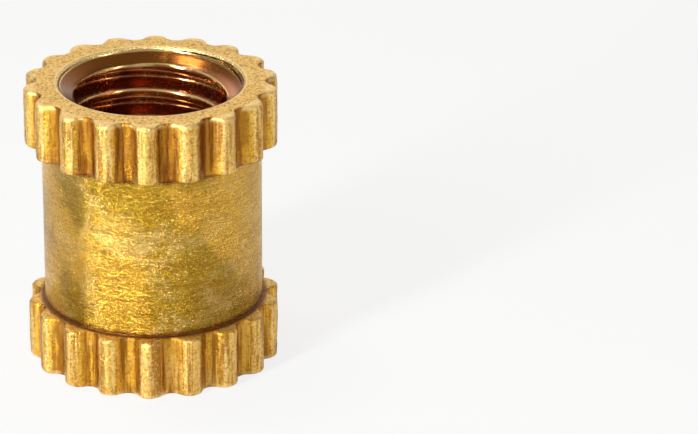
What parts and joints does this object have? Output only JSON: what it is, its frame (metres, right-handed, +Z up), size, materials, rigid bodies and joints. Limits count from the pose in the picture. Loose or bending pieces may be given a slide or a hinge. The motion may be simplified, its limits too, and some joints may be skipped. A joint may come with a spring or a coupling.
{
  "type": "threaded insert",
  "caption": "Straight-knurled brass insert with a through thread and a plain waist, moulded or pressed into plastic to take a machine screw.",
  "frame": {"origin": "centre of the lower end face, which the insert stands on", "axes": "+Z up along the thread's axis; a knurl tooth's crest points along -Y; the two ends are alike"},
  "size_m": [0.007, 0.007, 0.008],
  "materials": {
    "brass": "satin turned brass, with knurled teeth and a darker bore"
  },
  "bodies": {
    "root": {"insert_body": "brass"}
  },
  "joints": []
}
